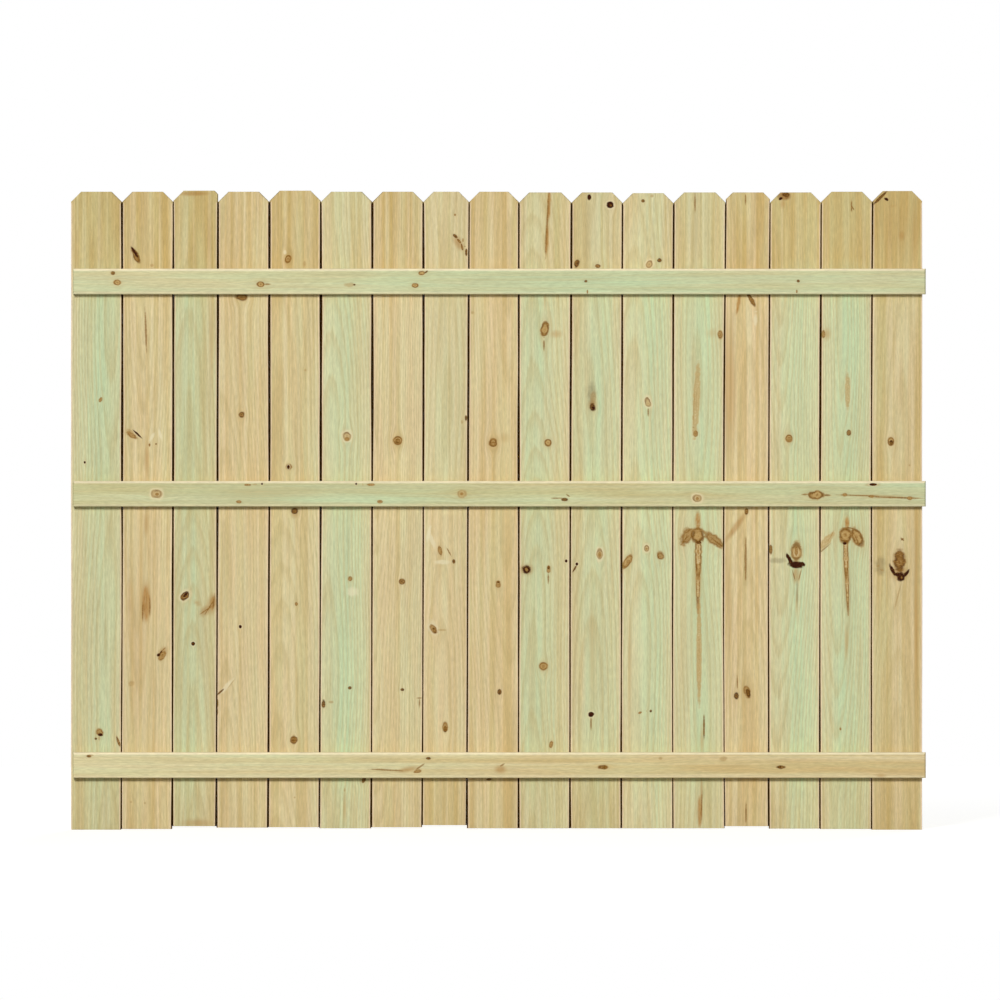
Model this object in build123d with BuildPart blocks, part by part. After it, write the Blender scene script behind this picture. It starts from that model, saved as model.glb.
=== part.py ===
"""Dog-ear picket fence panel: butted pine pickets stapled to three horizontal backer rails.

X runs along the fence, Y from the rail side (-Y) to the street side (+Y) and Z is up.
The origin is at the middle of the panel's box, on the ground under the lowest picket foot.
"""

import os

from build123d import *

# Pickets: rough-sawn boards with both top corners clipped, some of them ripped narrower.
picket_count = 17
picket_height = 1829.0
picket_width = 144.0
picket_thickness = 16.0
picket_gap = 3.0
picket_arris = 1.0
dog_ear = 29.0
narrow_picket_width = 124.5

# Narrow pickets by number from the left, with the share of the ripped-off strip that came
# from the left and from the right edge after the ears were cut. Picket 8 was ripped before.
narrow_pickets = {3: (0.0, 1.0), 8: (0.0, 0.0), 14: (0.5, 0.5)}

# Boards are cut and laid by hand: how far each foot stands above the lowest foot, and each
# head below the highest head, from the left picket to the right one.
foot_rises = (0.0, 2.0, 10.0, 6.0, 7.0, 4.0, 7.0, 13.0, 4.0, 4.0, 4.0, 4.0, 4.0, 10.0, 3.0, 2.0, 0.0)
head_drops = (3.0, 3.0, 0.0, 3.0, 0.0, 3.0, 3.0, 3.0, 3.0, 5.0, 5.0, 7.0, 5.0, 5.0, 5.0, 3.0, 1.0)

# Rails: dimension lumber as long as the row of pickets, set over to one side of it.
rail_height = 73.0
rail_depth = 38.0
rail_arris = 4.0
rail_shift = 8.0
top_rail_drop = 224.0
middle_rail_rise = 925.0
bottom_rail_rise = 149.0

# Staples: flat-wire, two through each picket into each rail, one high and one low.
staple_crown = 12.7
staple_wire = 1.6
staple_set = 0.4
staple_tip_cover = 10.0
staple_edge_distance = 26.0
staple_stagger = 16.0
staple_clearance = 0.05

# Places that follow from the sizes above.
picket_numbers = range(1, picket_count + 1)
picket_widths = [narrow_picket_width if n in narrow_pickets else picket_width for n in picket_numbers]
row_width = sum(picket_widths) + picket_gap * (picket_count - 1)
row_left = -(row_width + rail_shift) / 2
picket_lefts = [row_left + sum(picket_widths[:i]) + picket_gap * i for i in range(picket_count)]

street_y = (picket_thickness + rail_depth) / 2
seat_y = street_y - picket_thickness
rail_centre_x = row_left + rail_shift + row_width / 2
rail_centre_zs = {
    "top_rail": picket_height - top_rail_drop - rail_height / 2,
    "middle_rail": middle_rail_rise + rail_height / 2,
    "bottom_rail": bottom_rail_rise + rail_height / 2,
}

crown_y = street_y - staple_set
tip_y = -street_y + staple_tip_cover
leg_spacing = staple_crown - staple_wire
slot_size = staple_wire + 2 * staple_clearance
street_plane = Plane.XZ.offset(-street_y)
seat_plane = Plane.XZ.offset(-seat_y)

high_staple_xs = [left + staple_edge_distance for left in picket_lefts]
low_staple_xs = [
    left + width - staple_edge_distance for left, width in zip(picket_lefts, picket_widths)
]


def staple_places(rail_z):
    """Middle of every staple crown over one rail, as (x, z), picket by picket."""
    high = [(x, rail_z + staple_stagger / 2) for x in high_staple_xs]
    low = [(x, rail_z - staple_stagger / 2) for x in low_staple_xs]
    return list(zip(high, low))


def leg_places(crowns):
    """Middle of both legs of each of the crowns, as (x, z)."""
    return [(x + side * leg_spacing / 2, z) for x, z in crowns for side in (-1, 1)]


def picket_crowns(index):
    """Crowns of the six staples through one picket."""
    return [place for z in rail_centre_zs.values() for place in staple_places(z)[index]]


os.makedirs("parts", exist_ok=True)

# Pickets
for index, number in enumerate(picket_numbers):
    left = picket_lefts[index]
    right = left + picket_widths[index]
    foot = foot_rises[index % len(foot_rises)]
    head = picket_height - head_drops[index % len(head_drops)]
    ripped = picket_width - narrow_picket_width
    left_rip, right_rip = (share * ripped for share in narrow_pickets.get(number, (0.0, 0.0)))
    blank_left = left - left_rip
    blank_right = right + right_rip
    crowns = picket_crowns(index)

    with BuildPart() as picket:
        with BuildSketch(street_plane):
            with BuildLine():
                Polyline(
                    (blank_left, foot),
                    (blank_right, foot),
                    (blank_right, head - dog_ear),
                    (blank_right - dog_ear, head),
                    (blank_left + dog_ear, head),
                    (blank_left, head - dog_ear),
                    close=True,
                )
            make_face()
            with Locations(((left + right) / 2, (foot + head) / 2)):
                Rectangle(right - left, head - foot, mode=Mode.INTERSECT)
        extrude(amount=picket_thickness)
        chamfer(picket.edges().filter_by(Axis.Z), length=picket_arris)
        with BuildSketch(street_plane):
            with Locations(*crowns):
                Rectangle(staple_crown + 2 * staple_clearance, slot_size)
        extrude(amount=staple_set + staple_wire, mode=Mode.SUBTRACT)
        with BuildSketch(street_plane):
            with Locations(*leg_places(crowns)):
                Rectangle(slot_size, slot_size)
        extrude(amount=picket_thickness, mode=Mode.SUBTRACT)

    picket.part.label = f"picket_{number:02d}"
    export_step(picket.part, f"parts/{picket.part.label}.step")

# Rails
for name, rail_z in rail_centre_zs.items():
    crowns = [place for pair in staple_places(rail_z) for place in pair]

    with BuildPart() as rail:
        with BuildSketch(seat_plane):
            with Locations((rail_centre_x, rail_z)):
                Rectangle(row_width, rail_height)
        extrude(amount=rail_depth)
        fillet(rail.edges().filter_by(Axis.X), radius=rail_arris)
        with BuildSketch(seat_plane):
            with Locations(*leg_places(crowns)):
                Rectangle(slot_size, slot_size)
        extrude(amount=seat_y - tip_y + staple_clearance, mode=Mode.SUBTRACT)

    rail.part.label = name
    export_step(rail.part, f"parts/{name}.step")

# Staples, one group for each rail: a crown with two legs that end in a chisel point
with BuildSketch() as staple_outline:
    with BuildLine():
        Polyline(
            (-staple_crown / 2, crown_y),
            (-staple_crown / 2, tip_y + staple_wire),
            (-leg_spacing / 2 + staple_wire / 2, tip_y),
            (-leg_spacing / 2 + staple_wire / 2, crown_y - staple_wire),
            (leg_spacing / 2 - staple_wire / 2, crown_y - staple_wire),
            (leg_spacing / 2 - staple_wire / 2, tip_y),
            (staple_crown / 2, tip_y + staple_wire),
            (staple_crown / 2, crown_y),
            close=True,
        )
    make_face()

for name, rail_z in rail_centre_zs.items():
    with BuildPart() as staples:
        for xs, rise in ((high_staple_xs, staple_stagger / 2), (low_staple_xs, -staple_stagger / 2)):
            with BuildSketch(Plane.XY.offset(rail_z + rise - staple_wire / 2)):
                with Locations(*[(x, 0) for x in xs]):
                    add(staple_outline.sketch)
            extrude(amount=staple_wire)

    staples.part.label = f"{name}_staples"
    export_step(staples.part, f"parts/{staples.part.label}.step")
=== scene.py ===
"""Looks of a dog-ear picket fence panel of treated pine, seen from its rail side."""

import math

import bpy
import numpy as np
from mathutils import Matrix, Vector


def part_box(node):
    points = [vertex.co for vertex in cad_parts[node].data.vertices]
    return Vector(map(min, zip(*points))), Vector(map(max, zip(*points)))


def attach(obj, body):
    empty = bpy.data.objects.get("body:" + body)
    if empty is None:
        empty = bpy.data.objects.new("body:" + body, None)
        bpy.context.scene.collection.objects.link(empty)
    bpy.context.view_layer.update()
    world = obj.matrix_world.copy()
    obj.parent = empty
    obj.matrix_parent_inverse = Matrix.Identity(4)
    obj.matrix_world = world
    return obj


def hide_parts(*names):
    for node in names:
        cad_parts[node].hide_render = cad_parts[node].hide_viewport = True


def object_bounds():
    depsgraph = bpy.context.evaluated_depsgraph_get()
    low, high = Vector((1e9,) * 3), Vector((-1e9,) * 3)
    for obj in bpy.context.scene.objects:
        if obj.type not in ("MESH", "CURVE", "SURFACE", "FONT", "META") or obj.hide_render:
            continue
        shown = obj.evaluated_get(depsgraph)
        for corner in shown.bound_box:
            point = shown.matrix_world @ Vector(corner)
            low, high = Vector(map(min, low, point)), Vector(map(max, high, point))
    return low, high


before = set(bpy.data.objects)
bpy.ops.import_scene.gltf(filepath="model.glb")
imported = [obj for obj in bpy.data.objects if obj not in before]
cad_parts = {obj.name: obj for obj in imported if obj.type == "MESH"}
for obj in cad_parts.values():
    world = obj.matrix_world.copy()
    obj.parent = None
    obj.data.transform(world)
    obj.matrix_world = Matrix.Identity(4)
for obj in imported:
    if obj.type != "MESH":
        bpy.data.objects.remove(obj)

cad_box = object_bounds()

# Backer rails: three lengths of planed pine, pressure-treated green, with eased long edges.
# They are laid flat and level, and the pickets are stapled across them.

MM = 0.001
# The photo's scale, and the pixels where the panel's left edge and its lowest foot lie in it.
MM_PER_PIXEL = 2.862
PHOTO_LEFT = 70.8
PHOTO_FOOT = 829.7

RAIL_ARRIS = 4.0 * MM
# Points of the mesh across and along a rail, through any board, and up its clipped corners.
RAIL_CELLS = (16, 360)
EDGE_LEVELS = 8
EAR_ROWS = 12

# A board's sides wander over this length. A joint keeps a clearance at the back, and in front it gapes by
# a share on each side that swells along the joint and swings from bay to bay. A range has four numbers:
# the low and the high value of a pattern, and what they become.
WANDER_LENGTH = 420 * MM
WANDER_RANGE = (0.2, 0.8, -1.0, 1.0)
JOINT_CLEARANCE = 0.012 * MM
GAPE_RANGE = (0.25, 0.75, 0.3, 0.7)
SWELL_SHIFT = (0.7, 9.0, 0.0)
BAY_SWING = 0.22


def node(tree, kind, inputs=(), **settings):
    """Adds a node, sets its options, and fills inputs, by name or number, with values, sockets or nodes."""
    made = tree.nodes.new(kind)
    for name, value in settings.items():
        setattr(made, name, value)
    for socket, value in dict(inputs).items():
        if isinstance(value, bpy.types.Node):
            value = value.outputs[0]
        if isinstance(value, bpy.types.NodeSocket):
            tree.links.new(value, made.inputs[socket])
        else:
            made.inputs[socket].default_value = value
    return made


def linear(code):
    """An sRGB hex colour as the linear colour that a shader takes."""
    channels = [int(code[i:i + 2], 16) / 255 for i in (1, 3, 5)]
    return [c / 12.92 if c <= 0.04045 else ((c + 0.055) / 1.055) ** 2.4 for c in channels] + [1.0]


HANDS = ("Left", "Right")
SIDE_SIZES = ("Foot", "Head", "Bow", "Foot Gape", "Head Gape", "Ear", "Seed")
BOARD_SIZES = ["Length", "Thickness", "Arris", "Wander"]
BOARD_SIZES += [f"{hand} {size}" for hand in HANDS for size in SIDE_SIZES]


def sawn_board_tree():
    """A board along Z between two joint lines, with eased edges, clipped corners and wandering sides."""
    tree = bpy.data.node_groups.new("sawn_board", "GeometryNodeTree")
    tree.interface.new_socket("Board", in_out="OUTPUT", socket_type="NodeSocketGeometry")
    for name in BOARD_SIZES:
        tree.interface.new_socket(name, in_out="INPUT", socket_type="NodeSocketFloat")
    for name in ("Columns", "Rows"):
        tree.interface.new_socket(name, in_out="INPUT", socket_type="NodeSocketInt")
    for name in ("Turn", "Place"):
        tree.interface.new_socket(name, in_out="INPUT", socket_type="NodeSocketVector")
    tree.interface.new_socket("Timber", in_out="INPUT", socket_type="NodeSocketMaterial")
    size = node(tree, "NodeGroupInput").outputs
    math_node = "ShaderNodeMath"

    blank = node(tree, "GeometryNodeMeshCube", {
        "Size": (1, 1, 1), "Vertices X": size["Columns"], "Vertices Y": EDGE_LEVELS,
        "Vertices Z": size["Rows"]})
    where = node(tree, "GeometryNodeInputPosition")
    kept = node(tree, "GeometryNodeStoreNamedAttribute", {
        "Geometry": blank.outputs["Mesh"], "Name": "blank", "Value": where}, data_type="FLOAT_VECTOR")
    x, y, z = node(tree, "ShaderNodeSeparateXYZ", {0: where}).outputs
    side = node(tree, math_node, {0: x, 1: 0.5}, operation="ADD")
    rise = node(tree, math_node, {0: z, 1: 0.5}, operation="ADD")

    # The eased edge is a quarter circle: from the face, turn 0, to the side, turn a quarter.
    outward = node(tree, math_node, {0: y}, operation="ABSOLUTE")
    turn = node(tree, "ShaderNodeMapRange", {
        0: outward, 1: 0.5, 2: 0.5 / (EDGE_LEVELS - 1), 3: 0.0, 4: math.pi / 2})
    sine = node(tree, math_node, {0: turn}, operation="SINE")
    cosine = node(tree, math_node, {0: turn}, operation="COSINE")
    drawn_in = node(tree, math_node, {0: 1.0, 1: sine}, operation="SUBTRACT")
    inset = node(tree, math_node, {0: drawn_in, 1: size["Arris"]}, operation="MULTIPLY")
    sunk = node(tree, math_node, {0: 1.0, 1: cosine}, operation="SUBTRACT")
    dip = node(tree, math_node, {0: sunk, 1: size["Arris"]}, operation="MULTIPLY")
    half = node(tree, math_node, {0: size["Thickness"], 1: 0.5}, operation="MULTIPLY")
    reach = node(tree, math_node, {0: half, 1: dip}, operation="SUBTRACT")
    facing = node(tree, math_node, {0: y}, operation="SIGN")
    depth = node(tree, math_node, {0: reach, 1: facing}, operation="MULTIPLY")

    # Rows are even up to the clipped corners and closer there.
    ear = node(tree, math_node, {0: size["Left Ear"], 1: size["Right Ear"]}, operation="MAXIMUM")
    gaps = node(tree, math_node, {0: size["Rows"], 1: 1.0}, operation="SUBTRACT")
    share = node(tree, math_node, {0: EAR_ROWS, 1: gaps}, operation="DIVIDE")
    start = node(tree, math_node, {0: 1.0, 1: share}, operation="SUBTRACT")
    straight = node(tree, math_node, {0: size["Length"], 1: ear}, operation="SUBTRACT")
    low = node(tree, "ShaderNodeMapRange", {0: rise, 1: 0.0, 2: start, 3: 0.0, 4: straight})
    high = node(tree, "ShaderNodeMapRange", {0: rise, 1: start, 2: 1.0, 3: 0.0, 4: ear})
    height = node(tree, math_node, {0: low, 1: high}, operation="ADD")
    part_way = node(tree, math_node, {0: height, 1: size["Length"]}, operation="DIVIDE")
    beat = node(tree, math_node, {0: height, 1: WANDER_LENGTH}, operation="DIVIDE")
    rear = node(tree, math_node, {0: y, 1: 0.0}, operation="GREATER_THAN")

    # A joint bows most at mid height, and gapes most in the upper bay and least in the lower one.
    to_head = node(tree, math_node, {0: 1.0, 1: part_way}, operation="SUBTRACT")
    curve = node(tree, math_node, {0: to_head, 1: part_way}, operation="MULTIPLY")
    arch = node(tree, math_node, {0: curve, 1: 4.0}, operation="MULTIPLY")
    round_trip = node(tree, math_node, {0: part_way, 1: 2 * math.pi}, operation="MULTIPLY")
    bays = node(tree, math_node, {0: round_trip}, operation="SINE")
    swing = node(tree, math_node, {0: bays, 1: -BAY_SWING, 2: 1.0}, operation="MULTIPLY_ADD")

    edges = []
    for hand in HANDS:
        spot = node(tree, "ShaderNodeCombineXYZ", {0: beat, 1: size[f"{hand} Seed"]})
        noise = node(tree, "ShaderNodeTexNoise", {"Vector": spot, "Scale": 1.0, "Detail": 1.0})
        sway = node(tree, "ShaderNodeMapRange", enumerate((noise.outputs[0], *WANDER_RANGE)))
        shift = node(tree, math_node, {0: sway, 1: size["Wander"]}, operation="MULTIPLY")
        line = node(tree, "ShaderNodeMapRange", {
            0: part_way, 1: 0.0, 2: 1.0, 3: size[f"{hand} Foot"], 4: size[f"{hand} Head"]})
        straight_line = node(tree, math_node, {0: line, 1: shift}, operation="ADD")
        middle = node(tree, math_node, {
            0: arch, 1: size[f"{hand} Bow"], 2: straight_line}, operation="MULTIPLY_ADD")
        far = node(tree, "ShaderNodeVectorMath", {0: spot, 1: SWELL_SHIFT}, operation="ADD")
        swell = node(tree, "ShaderNodeTexNoise", {"Vector": far, "Scale": 1.0, "Detail": 1.0})
        share = node(tree, "ShaderNodeMapRange", enumerate((swell.outputs[0], *GAPE_RANGE)))
        gape = node(tree, "ShaderNodeMapRange", {
            0: part_way, 1: 0.0, 2: 1.0, 3: size[f"{hand} Foot Gape"], 4: size[f"{hand} Head Gape"]})
        opened = node(tree, math_node, {0: gape, 1: share}, operation="MULTIPLY")
        mouth = node(tree, math_node, {0: opened, 1: swing}, operation="MULTIPLY")
        gap = node(tree, "ShaderNodeMix", {0: rear, 2: mouth, 3: JOINT_CLEARANCE})
        corner = node(tree, math_node, {0: size["Length"], 1: size[f"{hand} Ear"]}, operation="SUBTRACT")
        above = node(tree, math_node, {0: height, 1: corner}, operation="SUBTRACT")
        clipped = node(tree, math_node, {0: above, 1: 0.0}, operation="MAXIMUM")
        taken = node(tree, math_node, {0: gap, 1: clipped}, operation="ADD")
        whole = node(tree, math_node, {0: taken, 1: inset}, operation="ADD")
        way = "ADD" if hand == "Left" else "SUBTRACT"
        edges.append(node(tree, math_node, {0: middle, 1: whole}, operation=way))
    across = node(tree, "ShaderNodeMix", {0: side, 2: edges[0], 3: edges[1]})

    pull = node(tree, "ShaderNodeMapRange", {0: rise, 1: 0.0, 2: 1.0, 3: 1.0, 4: -1.0})
    end_inset = node(tree, math_node, {0: inset, 1: pull}, operation="MULTIPLY")
    up = node(tree, math_node, {0: height, 1: end_inset}, operation="ADD")
    spot = node(tree, "ShaderNodeCombineXYZ", {0: across, 1: depth, 2: up})
    shaped = node(tree, "GeometryNodeSetPosition", {"Geometry": kept, "Position": spot})
    placed = node(tree, "GeometryNodeTransform", {
        "Geometry": shaped, "Translation": size["Place"], "Rotation": size["Turn"]})
    real = node(tree, "GeometryNodeRealizeInstances", {0: placed})
    dressed = node(tree, "GeometryNodeSetMaterial", {"Geometry": real, "Material": size["Timber"]})
    node(tree, "NodeGroupOutput", {0: dressed})
    return tree


SHARP_ANGLE = math.radians(50)


def grown(name, tree, values, places=()):
    """A plain mesh object made by a tree with these inputs, from these places if it needs any."""
    seed = bpy.data.objects.new(name, bpy.data.meshes.new(f"{name}_blank"))
    seed.data.from_pydata(places, [], [])
    bpy.context.scene.collection.objects.link(seed)
    modifier = seed.modifiers.new("maker", "NODES")
    modifier.node_group = tree
    for item in tree.interface.items_tree:
        if item.in_out == "INPUT" and item.name in values:
            modifier[item.identifier] = values[item.name]
    evaluated = seed.evaluated_get(bpy.context.evaluated_depsgraph_get())
    mesh = bpy.data.meshes.new_from_object(evaluated)
    blank = seed.data
    seed.modifiers.remove(modifier)
    seed.data = mesh
    mesh.name = name
    bpy.data.meshes.remove(blank)
    mesh.shade_smooth()
    mesh.set_sharp_from_angle(angle=SHARP_ANGLE)
    return seed


# How a mark in the wood looks: how solid it is, how dark, how strong its rim, and how soft its edge.
RING = (0.72, 0.16, 0.80, 0.32)
EYE = (0.65, 0.14, 0.40, 0.42)
KNOT = (0.94, 0.22, 0.60, 0.44)
TAN = (0.93, 0.28, 0.35, 0.50)
DEEP = (0.92, 0.45, 0.45, 0.48)
DARK = (0.94, 0.58, 0.45, 0.50)
RIMMED = (0.94, 0.18, 0.80, 0.41)
GUM = (0.72, 0.09, 0.20, 0.60)
STEM = (0.84, 0.12, 0.80, 0.45)
SOOT = (0.30, 0.90, 0.00, 0.99)
LOOSE = (0.95, 0.45, 0.80, 0.33)
BLACK = (1.00, 0.95, 0.60, 0.32)
CHAR = (1.00, 0.95, 0.00, 0.50)
FAINT = (0.50, 0.24, 0.15, 0.80)
CRACK = (0.75, 0.45, 0.00, 0.70)
PALE = (0.52, -0.40, 0.00, 0.99)
WARM = (0.30, 0.00, 0.00, 1.60)
TINGE = (0.14, 0.00, 0.00, 1.60)
STAIN = (0.50, 0.05, 0.00, 1.50)
SMEAR = (0.65, 0.15, 0.00, 1.40)
RESIN = (0.90, 0.10, 0.00, 1.10)
HEART = (0.90, 0.55, 0.00, 1.20)

# Crisp marks lie in layers. Each is drawn up to a margin round it, and two in a layer keep a gap as well.
MARK_LAYERS = 6
MARK_MARGIN = 7.5
LAYER_GAP = 2.0


def mark_layers(marks):
    """Sorts the crisp marks into layers in which no two lie close, later marks above earlier ones."""
    layers = [[] for _ in range(MARK_LAYERS)]
    for mark in marks:
        cosine, sine = abs(math.cos(mark["turn"])), abs(math.sin(mark["turn"]))
        wide, tall = mark["half"]
        room = np.array([wide * cosine + tall * sine, wide * sine + tall * cosine])
        mark["room"] = room + MARK_MARGIN + LAYER_GAP
        clear = []
        for number, layer in enumerate(layers):
            apart = [np.abs(mark["at"] - other["at"]) - mark["room"] - other["room"] for other in layer]
            if all(gap.max() > 0 for gap in apart):
                clear.append(number)
        above = [number for number in clear if all(later in clear for later in range(number, MARK_LAYERS))]
        number = (above or clear or [MARK_LAYERS - 1])[0]
        layers[number].append(mark)
    return layers


def local(mark, across, along):
    """Places measured from a mark's middle, where its edge is 1 away."""
    du, dv = across - mark["at"][0], along - mark["at"][1]
    cosine, sine = math.cos(mark["turn"]), math.sin(mark["turn"])
    return (du * cosine + dv * sine) / mark["half"][0], (dv * cosine - du * sine) / mark["half"][1]


# How far round a knot the grain bends, as times its half size and millimetres more, across and along.
FLOW_REACH = ((1.5, 3), (2.2, 6))
FLOW_PUSH = 0.75
FLOW_PER_RIM = 2.0

# How the pith sways along a board, as sizes and lengths in millimetres: two across and two in depth.
PITH_SWAYS = ((9, 410), (4, 150), (10, 520), (3, 130))
GRAIN_OFFSET = 4000

# A mark this soft or softer is a stain that fades to its reach. A crisper one only tints the wood round it.
STAIN_SOFTNESS = 1.0
STAIN_REACH = 1.15
STAIN_CORE = 0.7
TINT_SHARE = 0.5
TINT_RIM = 0.7
TINT_REACH = 1.5
FAR_AWAY = 9.0

# The blank of a board is a cube of size 1, and its sides lie beyond this.
BLANK_SIDE = 0.499
# How strongly painted shade darkens a joint at the levels of a board's side, from the front, 0, to the
# back.
JOINT_LEVELS = (0, 1, 2, 3, 6, 7)
JOINT_PAINTED_SHADE = (0.1, 0.6, 0.95, 1.0, 1.0, 0.5)


def grain_board(
    board, lengthwise, crosswise, marks, pith, rings, stains, seed, pale, joints=(False, False)
):
    """Writes what the pine's finish reads, in millimetres: grain bent round knots, rings, stains, marks,
    painted shade in the joints and pale edges.
    """
    mesh = board.data
    count = len(mesh.vertices)
    spots = np.empty(count * 3)
    mesh.vertices.foreach_get("co", spots)
    spots = spots.reshape(-1, 3) / MM
    blank = np.empty(count * 3)
    mesh.attributes["blank"].data.foreach_get("vector", blank)
    blank = blank.reshape(-1, 3)
    rows = len(np.unique(blank[:, 2].round(6)))
    along, across, depth = spots[:, lengthwise], spots[:, crosswise], spots[:, 1]

    flow = across.copy()
    for mark in marks:
        knotted = min(1.0, FLOW_PER_RIM * mark["look"][2])
        du, dv = across - mark["at"][0], along - mark["at"][1]
        wide, tall = (times * half + more for (times, more), half in zip(FLOW_REACH, mark["half"]))
        spread = (du / wide) ** 2 + (dv / tall) ** 2
        flow -= du * FLOW_PUSH * knotted * np.exp(-spread)

    rng = np.random.default_rng(seed)
    phases = rng.uniform(0, 2 * math.pi, len(PITH_SWAYS))
    sways = [size * np.sin(along / length + phase) for (size, length), phase in zip(PITH_SWAYS, phases)]
    pith_across = pith[0] + sways[0] + sways[1]
    pith_depth = pith[1] + pith[2] * along + sways[2] + sways[3]
    ring = np.hypot(flow - pith_across, pith_depth + depth) / rings

    green, honey, tone = stains(across, along)
    resin = np.zeros(count)
    dark = np.zeros(count)
    for mark in marks:
        solid, darkness, rim, soft = mark["look"]
        u, v = local(mark, across, along)
        away = np.hypot(u, v)
        soaks_in = soft >= STAIN_SOFTNESS
        if soaks_in:
            weight = solid * np.clip((STAIN_REACH - away) / (soft - STAIN_CORE), 0, 1)
        else:
            weight = TINT_SHARE * solid * min(rim, TINT_RIM) * np.exp(-((away / TINT_REACH) ** 2))
        dark = np.where(weight > resin, darkness * soaks_in, dark)
        resin = np.maximum(resin, weight)

    # Painted shade: a board's sides darken where they face a neighbour across a joint, below the clipped
    # corners.
    sides = np.abs(blank[:, 0]) > BLANK_SIDE
    inner = np.where(blank[:, 0] < 0, joints[0], joints[1])
    level = (blank[:, 1] + 0.5) * (EDGE_LEVELS - 1)
    below_ears = blank[:, 2] + 0.5 < 1 - EAR_ROWS / (rows - 1)
    joint = sides * inner * below_ears * np.interp(level, JOINT_LEVELS, JOINT_PAINTED_SHADE)
    # Pale edges; on a rail, a painted highlight that is strongest along its top edge.
    edge = sides * below_ears * np.where(blank[:, 0] < 0, pale[0], pale[1])

    def write(name, kind, field, values):
        layer = mesh.attributes.new(name, kind, "POINT")
        layer.data.foreach_set(field, np.ascontiguousarray(values, dtype=np.float32).ravel())

    offset = rng.uniform(-GRAIN_OFFSET, GRAIN_OFFSET, 3)
    write("grain", "FLOAT_VECTOR", "vector", np.stack([flow, depth, along], 1) + offset)
    write("ring", "FLOAT", "value", ring)
    write("stain_and_painted_light", "FLOAT_COLOR", "color", np.stack([green, honey, joint, edge], 1))
    write("resin", "FLOAT_COLOR", "color", np.stack([resin, dark, tone, resin * 0 + 1], 1))
    crisp = [mark for mark in marks if mark["look"][3] < STAIN_SOFTNESS]
    for index, layer in enumerate(mark_layers(crisp)):
        place = np.full((count, 3), FAR_AWAY)
        look = np.zeros((count, 4))
        nearest = np.full(count, np.inf)
        for mark in layer:
            u, v = local(mark, across, along)
            outside = [np.maximum(np.abs(spot) - 1, 0) * half for spot, half in zip((u, v), mark["half"])]
            beyond = np.hypot(*outside)
            closer = beyond < nearest
            nearest = np.where(closer, beyond, nearest)
            place[closer] = np.stack([u, v, u * 0], 1)[closer]
            look[closer] = mark["look"]
        look[nearest > MARK_MARGIN, :3] = 0
        write(f"mark_{index}_at", "FLOAT_VECTOR", "vector", place)
        write(f"mark_{index}_look", "FLOAT_COLOR", "color", look)
    mesh.attributes.remove(mesh.attributes["blank"])


def photo_mark(x, y, wide, tall, look, turn=0.0, upright=True):
    """A mark at a pixel of the photo, with its size in millimetres and its lean in degrees."""
    left = cad_box[0][0] / MM + (x - PHOTO_LEFT) * MM_PER_PIXEL
    height = (PHOTO_FOOT - y) * MM_PER_PIXEL
    at, half = ((left, height), (wide / 2, tall / 2)) if upright else ((height, left), (tall / 2, wide / 2))
    lean = math.radians(turn if upright else -turn)
    return {"at": np.array(at), "half": half, "turn": lean, "look": look}


# Pressure-treated southern pine: pale straw wood with honey heartwood, a green copper stain in the
# sapwood, darker latewood lines, brown knots and amber resin. Dry and matt, with fine fibres.
STRAW = "#DCC699"
HONEY = "#C6A96A"
MINT = "#BECDA3"
LATEWOOD = "#B7A26C"
PEACH = "#E3C8A6"
RESIN_AMBER = "#B3813E"
RESIN_DARK = "#6A4015"
SCRAPED = "#E8DFBC"
KNOT_TAN = "#BE9C61"
KNOT_BROWN = "#82581E"
KNOT_BLACK = "#38170A"
HALO = "#E8D9B0"
# Painted shade for the joints between pickets: amber near the face, dark brown deeper in the gap.
JOINT_AMBER = "#A58A38"
JOINT_SHADE = "#5E3C05"

# Sizes of the wood's patterns across, through and along the board, in millimetres. How far apart saw
# marks lie along it comes with the timber.
CLOUD_MM = (26.0, 60.0, 330.0)
BAND_MM = (13.0, 40.0, 1700.0)
STREAK_MM = (5.0, 12.0, 260.0)
FIBRE_MM = (2.2, 5.0, 20.0)
SAW_MARK_MM = (100.0, 5.0)
KNOT_WOBBLE_MM = 12.0
KNOT_GRIT_MM = 2.6

# How the patterns work on the colour, mostly as ranges.
PATTERN_SPAN = (0.3, 0.7)
RING_WAVER = 0.35
LATEWOOD_STOPS = ((0.35, 0.0), (0.84, 1.0))
HONEY_SWING = (0.34, 0.66, 0.38, -0.38)
GREEN_SWING = (0.36, 0.64, 0.85, 1.10)
GREEN_WASH = (0.40, 0.68, 0.0, 0.22)
PEACH_SHARE = (0.52, 0.72, 0.0, 0.10)
PITCH_FLECKS = (0.52, 0.72, 0.0, 0.5)
RESIN_SPECKLE = (0.3, 0.6, 0.65, 1.0)
FIBRE_TONES = (*PATTERN_SPAN, 0.895, 1.105)
CLOUD_TONES = (*PATTERN_SPAN, 0.96, 1.04)

# A knot, measured from its middle, 0, to its edge, 1: pale halo, dark rim, heart and growth rings.
KNOT_RAGGED = (*PATTERN_SPAN, -0.19, 0.19)
KNOT_PATCHY = (*PATTERN_SPAN, 0.65, 1.35)
HALO_REACH = (2.0, 1.1)
HALO_BY_SOFTNESS = (0.40, 0.32, 0.0, 0.65)
RIM_RISE = (0.50, 0.88)
RIM_FALL = (1.15, 0.97)
RIM_BREAKS = (0.36, 0.56, 0.45, 1.0)
RIM_DARKNESS = 0.58
RIM_SINK = -1.2
HEART_DARKNESS = (0.0, 1.0, 0.08, -0.04)
WHORL_RATE = 9.5
WHORL_DARKNESS = 0.1
KNOT_STOPS = ((0.12, KNOT_TAN), (0.5, KNOT_BROWN), (0.85, KNOT_BLACK))
JOINT_AMBER_SHADING = 1.6

# Dry wood: matt, with a relief of fibres, latewood and saw marks.
WOOD_ROUGHNESS = 0.82
WOOD_SPECULAR = 0.06
LATEWOOD_RELIEF = 0.6
SAW_RELIEF = 0.5
RELIEF_STRENGTH = 0.3
RELIEF_HEIGHT = 0.5 * MM


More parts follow.
